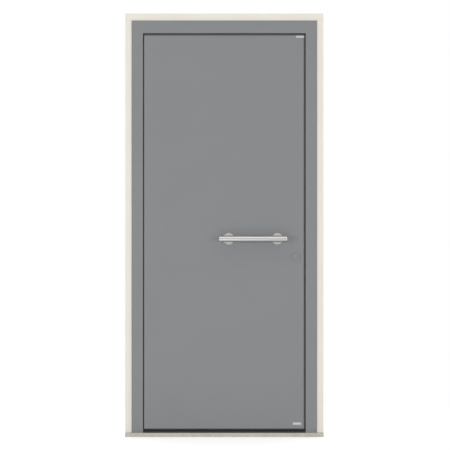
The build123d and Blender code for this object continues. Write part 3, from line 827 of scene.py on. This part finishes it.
def grow(node_tree, points, edges, facings, **sizes):
    """Runs a tree on points that know which way they face, and returns the mesh it grows."""
    seeds = bpy.data.meshes.new("seeds")
    seeds.from_pydata(points, edges, [])
    facing = seeds.attributes.new("facing", "FLOAT_VECTOR", "POINT")
    for item, direction in zip(facing.data, facings):
        item.vector = direction
    carrier = bpy.data.objects.new("carrier", seeds)
    scene.collection.objects.link(carrier)
    modifier = carrier.modifiers.new("grow", "NODES")
    modifier.node_group = node_tree
    for socket in node_tree.interface.items_tree:
        key = socket.name.replace(" ", "_")
        if socket.in_out == "INPUT" and key in sizes:
            modifier[socket.identifier] = sizes[key]
    grown = carrier.evaluated_get(bpy.context.evaluated_depsgraph_get())
    mesh = bpy.data.meshes.new_from_object(grown)
    bpy.data.objects.remove(carrier)
    return mesh


def joined(name, meshes):
    """Meshes of one finish as one, with faces outwards and without the trees' own marks."""
    whole = bmesh.new()
    for mesh in meshes:
        whole.from_mesh(mesh)
    for face in whole.faces:
        face.material_index = 0
    bmesh.ops.recalc_face_normals(whole, faces=whole.faces)
    mesh = bpy.data.meshes.new(name)
    whole.to_mesh(mesh)
    whole.free()
    for mark in ("facing", "socket"):
        if mark in mesh.attributes:
            mesh.attributes.remove(mesh.attributes[mark])
    mesh.materials.append(meshes[0].materials[-1])
    return mesh


def keep(name, meshes, body, replaced=()):
    """One clean piece on a body, shaded so that its flats look flat."""
    mesh = joined(name, meshes)
    mesh.shade_smooth()
    mesh.set_sharp_from_angle(angle=SHARP_ANGLE)
    piece = bpy.data.objects.new(name, mesh)
    scene.collection.objects.link(piece)
    piece.modifiers.new("flats", "WEIGHTED_NORMAL").keep_sharp = True
    weighted = piece.evaluated_get(bpy.context.evaluated_depsgraph_get())
    piece.data = bpy.data.meshes.new_from_object(weighted)
    piece.modifiers.clear()
    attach(piece, body)
    if replaced:
        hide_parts(*replaced)
    print("piece:", name, "faces:", len(mesh.polygons))


print("edges over", round(math.degrees(SHARP_ANGLE)), "degrees stay sharp")

# %% [markdown]
# ### Screws
#
# Hinges, faceplate and strike plates are held by lens-head screws with a six-lobe socket, and
# long frame screws go through the posts into the wall. The head starts as a flat ring with a
# star-shaped hole: the star is pushed down for the socket, the rim is pulled down for the side,
# and the ring is crowned. Each screw is turned by its own random angle, as a hand leaves it.

# %% Screw tree
RIM_STEPS = 40
RIM_SHARE = 0.35
LOBES = 6
LOBE_STEPS = 2
LOBE_SHARE = 0.2
VALLEY_SHARE = 0.72
SHANK_STEPS = 20
SHANK_SHARE = 0.45
RANDOM_MOST = 3
RANDOM_NUMBER = 1


def flat_head(tree, rim):
    """A disc with a star-shaped patch in its middle that is marked as the socket."""
    radius = tree["Socket radius"]
    valley = tree.multiply(radius, VALLEY_SHARE)
    star = tree.geometry("CurveStar", Points=LOBES, Outer_Radius=radius, Inner_Radius=valley)
    star = tree.softened(star, LOBE_STEPS, tree.multiply(radius, LOBE_SHARE))
    ring = tree.filled(tree.together(rim, star))
    mark = {"Name": "socket", "Value": True, "data_type": "BOOLEAN", "domain": "FACE"}
    patch = tree.geometry("StoreNamedAttribute", Geometry=tree.filled(star), **mark)
    return tree.welded(ring, patch)


def crowned(tree, head):
    """Raises a flat head to its height in the middle, and to a share of it at the rim."""
    spot = tree.split(tree.geometry("InputPosition"))
    away = tree.length(tree.join(spot["X"], spot["Y"], 0.0))
    share = tree.math("POWER", tree.math("DIVIDE", away, tree["Head radius"]), 2.0)
    crown = tree.math("MULTIPLY_ADD", share, RIM_SHARE - 1.0, 1.0)
    rise = tree.join(0.0, 0.0, tree.multiply(crown, tree["Head height"]))
    return tree.geometry("SetPosition", Geometry=head, Offset=rise)


def screw_head(tree):
    rim = tree.circle(RIM_STEPS, tree["Head radius"])
    head = crowned(tree, flat_head(tree, rim))
    down = tree.join(0.0, 0.0, -1.0)
    push = {"Offset_Scale": tree["Socket depth"], "Individual": False, "mode": "FACES"}
    socket = tree.mark("socket", "BOOLEAN")
    head = tree.geometry("ExtrudeMesh", Mesh=head, Selection=socket, Offset=down, **push)
    outer = tree.math("COMPARE", tree.geometry("InputMeshEdgeNeighbors"), 1.0, 0.5)
    rim_height = tree.multiply(tree["Head height"], RIM_SHARE)
    pull = {"Offset_Scale": tree.math("ADD", rim_height, tree["Sink"]), "mode": "EDGES"}
    head = tree.geometry("ExtrudeMesh", Mesh=head, Selection=outer, Offset=down, **pull)
    under = tree.shifted(tree.filled(rim), z=tree.multiply(tree["Sink"], -1.0))
    return tree.welded(head, under)


def screw_shank(tree):
    radius = tree.multiply(tree["Head radius"], SHANK_SHARE)
    length = tree["Shank length"]
    shank = tree.geometry("MeshCylinder", Vertices=SHANK_STEPS, Radius=radius, Depth=length)
    return tree.shifted(shank, z=tree.math("SUBTRACT", tree.multiply(length, -0.5), tree["Sink"]))


def hand_turn(tree):
    """Aims a screw the way that its point faces, and turns it by a random angle."""
    facing = tree.mark("facing", "FLOAT_VECTOR")
    aim = tree.function("AlignRotationToVector", Vector=facing)
    chance = tree.add("FunctionNodeRandomValue", Seed=tree["Seed"])
    tree.feed(chance.inputs[RANDOM_MOST], math.tau)
    angle = chance.outputs[RANDOM_NUMBER]
    spin = tree.function("AxisAngleToRotation", Axis=(0.0, 0.0, 1.0), Angle=angle)
    return tree.function("RotateRotation", aim, spin, rotation_space="LOCAL")


def make_screw_tree():
    sizes = {
        "Head radius": 0.0045, "Head height": 0.0016, "Socket radius": 0.0024,
        "Socket depth": 0.0013, "Sink": 0.0004, "Shank length": 0.02, "Seed": 1,
    }
    tree = Growth("lens_head_screws", sizes)
    screw = tree.together(screw_head(tree), screw_shank(tree))
    return tree.dressed(tree.planted(screw, Rotation=hand_turn(tree)))


screw_tree = make_screw_tree()

# %% Places of the screws
HINGE_NAMES = ("bottom", "middle", "top")
STRIKE_NAMES = ("bottom", "main", "top")
WING_SCREW_COLUMNS = (0.011, 0.033)
WING_SCREW_END = 0.014
PLATE_SCREW_END = 0.015
FACEPLATE_SCREW_SHIFT = 0.024
FIXING_SINK = 0.005
MM_PER_METRE = 1000

TO_LOCK = Vector((1, 0, 0))
TO_ROOM = Vector((0, 1, 0))
UP = Vector((0, 0, 1))


def ends(low, high, margin):
    """Two levels, a margin inside the bottom and the top of a box."""
    return low.z + margin, high.z - margin


def column(x, y, levels, facing):
    """Places one above the other, each paired with the way that a screw faces there."""
    return [(Vector((x, y, z)), facing) for z in levels]


def wing_screws():
    """Four screws through the wing of each hinge into the facing."""
    places = []
    for name in HINGE_NAMES:
        low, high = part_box(f"{name}_hinge_leaf_half")
        for inset in WING_SCREW_COLUMNS:
            places += column(high.x - inset, high.y, ends(low, high, WING_SCREW_END), TO_ROOM)
    return places


def faceplate_screws():
    """Screws at the ends of the faceplate and beside each group of bolts."""
    low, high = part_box("lock_faceplate")
    levels = [*ends(low, high, PLATE_SCREW_END)]
    for name in STRIKE_NAMES:
        levels += ends(*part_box(f"{name}_strike_plate"), -FACEPLATE_SCREW_SHIFT)
    return column(high.x, (low.y + high.y) / 2, levels, TO_LOCK)


def strike_screws():
    places = []
    for name in STRIKE_NAMES:
        low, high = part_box(f"{name}_strike_plate")
        levels = ends(low, high, PLATE_SCREW_END)
        places += column(low.x, (low.y + high.y) / 2, levels, -TO_LOCK)
    return places


def fixing_screws():
    """Frame screws, sunk in the drillings that the record lists."""
    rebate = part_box("main_strike_plate")[0].x
    places = []
    for mount in frame["record"]["mounts"]:
        if mount["kind"] == "bolt_pattern":
            middle, outward = Vector(mount["pos_m"]), Vector(mount["axis"])
            half = mount["dims"]["spacing_y_mm"] / MM_PER_METRE / 2
            levels = (middle.z - half, middle.z + half)
            places += column(outward.x * (rebate + FIXING_SINK), middle.y, levels, -outward)
    return places


print("hinge screws:", len(wing_screws()), "frame screws:", len(fixing_screws()))

# %% Screws on the leaf and the frame
PLATE_SCREW = {
    "Head_radius": 0.0038, "Head_height": 0.0013, "Socket_radius": 0.002, "Socket_depth": 0.0011,
}
FIXING_SCREW = {
    "Head_radius": 0.0057, "Head_height": 0.0018, "Socket_radius": 0.0033, "Socket_depth": 0.0016,
    "Shank_length": 0.06,
}


def driven(places, seed, **sizes):
    """Screws at places that are paired with the way each one faces."""
    points, facings = zip(*places)
    return grow(screw_tree, points, [], facings, Seed=seed, Finish=steel_z, **sizes)


leaf_screws = [
    driven(wing_screws(), seed=3),
    driven(faceplate_screws(), seed=5, **PLATE_SCREW),
]
frame_screws = [
    driven(strike_screws(), seed=7, **PLATE_SCREW),
    driven(fixing_screws(), seed=9, **FIXING_SCREW),
]
keep("leaf_screws", leaf_screws, "leaf")
keep("frame_screws", frame_screws, "frame")

# %% [markdown]
# ### Hinge washers
#
# Steel must not grind on steel, so a thin dark ring of nylon lies in each gap between the
# knuckles. One small profile swept round a circle gives the ring, planted once in every gap.

# %% Washers
KNUCKLES = 3
KNUCKLE_GAP = 0.001
WASHER_STEPS = 64
WASHER_SOFT_STEPS = 2
WASHER_SOFT_SHARE = 0.35


def make_washer_tree():
    tree = Growth("hinge_washers", {"Ring radius": 0.0085, "Band": 0.0042, "Thickness": 0.0008})
    band = tree.rectangle(tree["Band"], tree["Thickness"])
    softness = tree.multiply(tree["Thickness"], WASHER_SOFT_SHARE)
    profile = tree.softened(band, WASHER_SOFT_STEPS, softness)
    circle = tree.circle(WASHER_STEPS, tree["Ring radius"])
    ring = tree.geometry("CurveToMesh", Curve=circle, Profile_Curve=profile)
    return tree.dressed(tree.planted(ring))


def washer_places():
    """The middle of each gap, where the leaf's knuckle meets the frame's knuckles."""
    axis = Vector(frame["joints"][0]["pos_m"])
    places = []
    for name in HINGE_NAMES:
        low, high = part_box(f"{name}_hinge_frame_half")
        pitch = (high.z - low.z + KNUCKLE_GAP) / KNUCKLES
        for gap in range(1, KNUCKLES):
            places.append(Vector((axis.x, axis.y, low.z + gap * pitch - KNUCKLE_GAP / 2)))
    return places


washers = washer_places()
nylon = grow(make_washer_tree(), washers, [], [UP] * len(washers), Finish=rubber)
keep("hinge_washers", [nylon], "frame")

# %% [markdown]
# ### Seals
#
# Three lines of rubber keep the weather out. The middle seal runs round the step of the leaf, the
# inner one lies behind the edge of the facing, and an outer lip sits in the shadow line between
# the grey sheet and the frame. Each is a profile swept along its path: a foot, a bulb and two
# small beads, or for the lip a soft-edged blade that nearly fills the gap it stands in.

# %% Seal trees
BEND_STEPS = 6
BULB_STEPS = 18
BEAD_STEPS = 10
BLADE_SOFT_STEPS = 4
BLADE_SOFT_SHARE = 0.42


def swept(tree, path, *profiles):
    """Profiles carried along a path, their X towards the way that the path faces."""
    facing = tree.mark("facing", "FLOAT_VECTOR")
    path = tree.geometry("SetCurveNormal", Curve=path, Normal=facing, mode="FREE")
    profile = tree.together(*profiles)
    return tree.geometry("CurveToMesh", Curve=path, Profile_Curve=profile, Fill_Caps=True)


def standing(tree, profile, height):
    """A profile moved up by half its height, so that it stands on the path."""
    return tree.shifted(profile, tree.multiply(height, 0.5))


def seal_foot(tree):
    foot = tree.rectangle(tree["Foot height"], tree["Foot width"])
    return standing(tree, foot, tree["Foot height"])


def make_bulb_seal_tree():
    sizes = {
        "Foot width": 0.007, "Foot height": 0.0015, "Bulb radius": 0.0022, "Bulb rise": 0.002,
        "Bead radius": 0.0006, "Corner radius": 0.006,
    }
    tree = Growth("bulb_seal", sizes)
    path = tree.geometry("MeshToCurve", Mesh=tree["Carrier"])
    path = tree.softened(path, BEND_STEPS, tree["Corner radius"])
    foot_top = tree["Foot height"]
    bulb_top = tree.math("ADD", foot_top, tree["Bulb rise"])
    bulb_middle = tree.math("SUBTRACT", bulb_top, tree["Bulb radius"])
    bulb = tree.shifted(tree.circle(BULB_STEPS, tree["Bulb radius"]), bulb_middle)
    half = tree.multiply(tree["Foot width"], 0.5)
    side = tree.math("SUBTRACT", half, tree["Bead radius"])
    bead = tree.circle(BEAD_STEPS, tree["Bead radius"])
    beads = [tree.shifted(bead, foot_top, tree.multiply(side, sign)) for sign in (-1.0, 1.0)]
    return tree.dressed(swept(tree, path, seal_foot(tree), bulb, *beads))


def make_lip_seal_tree():
    sizes = {"Reach": 0.004, "Blade": 0.0024, "Foot width": 0.006, "Foot height": 0.001}
    tree = Growth("lip_seal", sizes)
    path = tree.geometry("MeshToCurve", Mesh=tree["Carrier"])
    softness = tree.multiply(tree["Blade"], BLADE_SOFT_SHARE)
    blade = tree.rectangle(tree["Reach"], tree["Blade"])
    blade = tree.softened(blade, BLADE_SOFT_STEPS, softness)
    blade = standing(tree, blade, tree["Reach"])
    return tree.dressed(swept(tree, path, seal_foot(tree), blade))


bulb_seal_tree = make_bulb_seal_tree()
lip_seal_tree = make_lip_seal_tree()

# %% Bulb seals round the leaf
STEP_FOOT = 0.007
OVERLAP_FOOT = 0.006
SEAL_BEND = 0.0045


def bulb_seal(corners, y, edges, foot):
    """A bulb seal through corners in one plane, with its bulb towards the street."""
    points = [(x, y, z) for x, z in corners]
    facings = [-TO_ROOM] * len(points)
    sizes = {"Foot_width": foot, "Corner_radius": SEAL_BEND}
    return grow(bulb_seal_tree, points, edges, facings, Finish=rubber, **sizes)


def step_seal():
    """A closed ring on the step of the leaf, over the stop of the frame and the threshold."""
    stile_low, stile_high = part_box("hinge_stile")
    left = (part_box("left_frame_post")[1].x + stile_low.x) / 2
    right = (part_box("right_frame_post")[0].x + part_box("lock_stile")[1].x) / 2
    bottom = (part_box("threshold")[1].z + stile_low.z) / 2
    top = (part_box("frame_head")[0].z + stile_high.z) / 2
    corners = [(left, bottom), (right, bottom), (right, top), (left, top)]
    edges = [(0, 1), (1, 2), (2, 3), (3, 0)]
    return bulb_seal(corners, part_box("step_gasket")[1].y, edges, STEP_FOOT)


def overlap_seal():
    """Up one side, across the top and down the other side, behind the edge of the facing."""
    low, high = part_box("overlap_gasket")
    half = OVERLAP_FOOT / 2
    left, right, top = low.x + half, high.x - half, high.z - half
    corners = [(left, low.z), (left, top), (right, top), (right, low.z)]
    return bulb_seal(corners, high.y, [(0, 1), (1, 2), (2, 3)], OVERLAP_FOOT)


keep("step_seal", [step_seal()], "leaf", ["step_gasket"])
keep("overlap_seal", [overlap_seal()], "leaf", ["overlap_gasket"])

# %% Outer lip
LIP_SETBACK = 0.02
LOCK_LIP_SETBACK = 0.012
FOOT_LIP_SETBACK = 0.005
LIP_SLIT = 0.0013
LOCK_LIP_SLIT = 0.0032
LIP_CUT = 0.0005

leaf_low, leaf_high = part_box("leaf_cladding")


def outer_lip():
    """Four blades on the edges of the grey sheet, each as deep as its gap less a slit.

    The lock side swings past the stop of the frame, so its blade and the foot's end are shorter.
    """
    y = leaf_low.y + LIP_SETBACK
    lock_y = leaf_low.y + LOCK_LIP_SETBACK
    foot_y = leaf_low.y + FOOT_LIP_SETBACK
    left_gap = leaf_low.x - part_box("left_frame_cladding")[1].x - LIP_SLIT
    right_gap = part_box("right_frame_cladding")[0].x - leaf_high.x - LOCK_LIP_SLIT
    top_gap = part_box("frame_head_cladding")[0].z - leaf_high.z - LIP_SLIT
    foot_gap = leaf_low.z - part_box("threshold")[1].z - LIP_SLIT
    across = (leaf_low.x - left_gap, leaf_high.x + right_gap)
    foot_end = across[1] - LOCK_LIP_SLIT
    upright_top = leaf_high.z - LIP_CUT
    runs = [
        (left_gap, -TO_LOCK, (leaf_low.x, y, leaf_low.z), (leaf_low.x, y, upright_top)),
        (right_gap, TO_LOCK, (leaf_high.x, lock_y, leaf_low.z), (leaf_high.x, lock_y, upright_top)),
        (top_gap, UP, (across[0], y, leaf_high.z), (across[1], y, leaf_high.z)),
        (foot_gap, -UP, (across[0], foot_y, leaf_low.z), (foot_end, foot_y, leaf_low.z)),
    ]
    return [
        grow(lip_seal_tree, [start, end], [(0, 1)], [facing] * 2, Reach=reach, Finish=grey_rubber)
        for reach, facing, start, end in runs
    ]


keep("outer_lip_seal", outer_lip(), "leaf")

# %% [markdown]
# ### Blank plates
#
# Two small silver plates sit near the lock edge of the leaf, one at the top and one at the foot.
# They are bare: a bright rim round a brushed field that lies a little lower. Rings of a rounded
# rectangle, each a little smaller or higher than the last, make one closed skin.

# %% Blank plates
PLATE_WIDTH = 0.044
PLATE_HEIGHT = 0.012
PLATE_CORNER = 0.002
LEAST_CORNER = 0.0004
PLATE_STEPS = [(0.0, 0.0), (0.0, 0.0008), (0.0003, 0.0011), (0.0016, 0.0011), (0.0019, 0.0007)]
CORNER_STEPS = 5
PLATE_MARGIN = 0.0012
UPPER_PLATE_PIXEL = 300.05
LOWER_PLATE_PIXEL = (296.9, 423.6)


def rounded_ring(centre, width, height, radius, y):
    """Points round a rounded rectangle in the plane of the leaf."""
    ring = []
    for corner, (side, rise) in enumerate([(1, 1), (-1, 1), (-1, -1), (1, -1)]):
        x = centre.x + side * (width / 2 - radius)
        z = centre.z + rise * (height / 2 - radius)
        for step in range(CORNER_STEPS + 1):
            angle = (corner + step / CORNER_STEPS) * math.pi / 2
            ring.append((x + radius * math.cos(angle), y, z + radius * math.sin(angle)))
    return ring


def lofted(rings, finish):
    """A closed skin through rings of equal count, with a face on each end."""
    count = len(rings[0])
    points = [point for ring in rings for point in ring]
    faces = [list(range(count)), list(range(len(points) - count, len(points)))]
    for level in range(len(rings) - 1):
        for step in range(count):
            here, there = level * count + step, level * count + (step + 1) % count
            faces.append([here, there, there + count, here + count])
    mesh = bpy.data.meshes.new("lofted")
    mesh.from_pydata(points, [], faces)
    mesh.materials.append(finish)
    return mesh


def keep_plate(name, pixel, z):
    """A bare plate on the leaf, in a column of the picture and at a height."""
    centre = Vector(((pixel - door_middle_pixel) * metres_per_pixel, 0, z))
    rings = []
    for inset, proud in PLATE_STEPS:
        width, height = PLATE_WIDTH - 2 * inset, PLATE_HEIGHT - 2 * inset
        radius = max(PLATE_CORNER - inset, LEAST_CORNER)
        rings.append(rounded_ring(centre, width, height, radius, leaf_low.y - proud))
    keep(name, [lofted(rings, plate_aluminium)], "leaf")


upper_z = leaf_high.z - PLATE_HEIGHT / 2 - PLATE_MARGIN
lower_z = sill_high.z + (SILL_TOP_PIXEL - LOWER_PLATE_PIXEL[1]) * metres_per_pixel
keep_plate("upper_blank_plate", UPPER_PLATE_PIXEL, upper_z)
keep_plate("lower_blank_plate", LOWER_PLATE_PIXEL[0], lower_z)

# %% [markdown]
# ### Eased edges
#
# No joiner leaves a knife edge: timber gets a pass of sandpaper, and cut metal is deburred. The
# CAD pieces with plain corners get that here. Each is copied, its flat faces are made whole and
# its outward edges are bevelled. Drilled holes keep their rims, because a facet of a hole is too
# short to bevel. Of the two frame posts only the long edges are eased, as their ends are hidden.

# %% Rounding a copy
FLAT_ANGLE = math.radians(0.5)
CORNER_ANGLE = math.radians(40)
EASE_STEPS = 3


def lines_a_hole(face):
    """True for a facet of a drilled wall, which bends inwards to the next facet."""
    return any(
        not edge.is_convex and FLAT_ANGLE < edge.calc_face_angle(0.0) < CORNER_ANGLE
        for edge in face.edges
    )


def whole_copy(node):
    """The shape of a node with its points joined and each flat side made one face."""
    shape = bmesh.new()
    shape.from_mesh(frame["nodes"][node].data)
    bmesh.ops.remove_doubles(shape, verts=shape.verts, dist=WELD)
    bmesh.ops.dissolve_limit(shape, angle_limit=FLAT_ANGLE, verts=shape.verts, edges=shape.edges)
    return shape


def as_mesh(shape, node):
    """A plain mesh in the finish of a node, in place of a shape that is being worked on."""
    mesh = bpy.data.meshes.new(node)
    shape.to_mesh(mesh)
    shape.free()
    mesh.materials.append(finish_of[node])
    return mesh


def eased_mesh(node, width, shortest):
    """A copy of a node with its outward corners rounded, kept inside the node's own box."""
    shape = whole_copy(node)
    drilled = {point for face in shape.faces if lines_a_hole(face) for point in face.verts}
    corners = []
    for edge in shape.edges:
        turns = edge.is_convex and edge.calc_face_angle(0.0) > CORNER_ANGLE
        if turns and edge.calc_length() > shortest and drilled.isdisjoint(edge.verts):
            corners.append(edge)
    bmesh.ops.bevel(
        shape, geom=corners, offset=width, offset_type="OFFSET", segments=EASE_STEPS, profile=0.5,
        affect="EDGES", clamp_overlap=True,
    )
    low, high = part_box(node)
    for point in shape.verts:
        for axis in range(3):
            point.co[axis] = min(max(point.co[axis], low[axis]), high[axis])
    return as_mesh(shape, node)


print("corners over", round(math.degrees(CORNER_ANGLE)), "degrees are eased")

# %% Eased pieces
SOFT_EASE = 0.0012
METAL_EASE = 0.0004
LONG_EDGE = 0.3

eased_nodes = {
    ("cream_paint", SOFT_EASE): ["left_surround_post", "right_surround_post", "surround_head"],
    ("sill_stone", SOFT_EASE): ["sill"],
    ("black_aluminium", METAL_EASE): ["threshold"],
    ("oak", SOFT_EASE): [
        "left_frame_post", "right_frame_post", "frame_head",
        "hinge_stile", "lock_stile", "top_rail", "bottom_rail",
    ],
    ("stainless", METAL_EASE): ["lock_faceplate", "lock_bolts"] + [
        node for node in frame["nodes"] if node.endswith(("_half", "_strike_plate"))
    ],
}
leaf_nodes = frame["record"]["behaviour"]["bodies"]["leaf"]
for (slot, width), nodes in eased_nodes.items():
    for node in nodes:
        shortest = LONG_EDGE if node.endswith("_frame_post") else 0.0
        body = "leaf" if node in leaf_nodes else "frame"
        keep(f"eased_{node}", [eased_mesh(node, width, shortest)], body, [node])

# %% [markdown]
# ### Caps of the pull bar
#
# The bar is a tube with a turned cap pressed into each end, which leaves a fine seam. Three cuts
# across the bar give a ring to each side of the seam and one in it, and the middle ring is drawn
# in towards the axis. A real groove catches light and shade at every angle, as a line cannot.

# %% Seamed bar
CAP_LENGTH = 0.005
SEAM_HALF = 0.00035
SEAM_DEPTH = 0.0005


def seamed_bar(node):
    """A copy of a bar along X with a fine groove near each end."""
    shape = whole_copy(node)
    low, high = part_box(node)
    middle = (low + high) / 2
    for seam in (low.x + CAP_LENGTH, high.x - CAP_LENGTH):
        for cut in (seam - SEAM_HALF, seam + SEAM_HALF, seam):
            everything = [*shape.verts, *shape.edges, *shape.faces]
            level = Vector((cut, middle.y, middle.z))
            ring = bmesh.ops.bisect_plane(shape, geom=everything, plane_co=level, plane_no=TO_LOCK)
        for point in ring["geom_cut"]:
            if isinstance(point, bmesh.types.BMVert):
                point.co += (level - point.co).normalized() * SEAM_DEPTH
    return as_mesh(shape, node)


keep("seamed_pull_bar", [seamed_bar("pull_bar")], "leaf", ["pull_bar"])
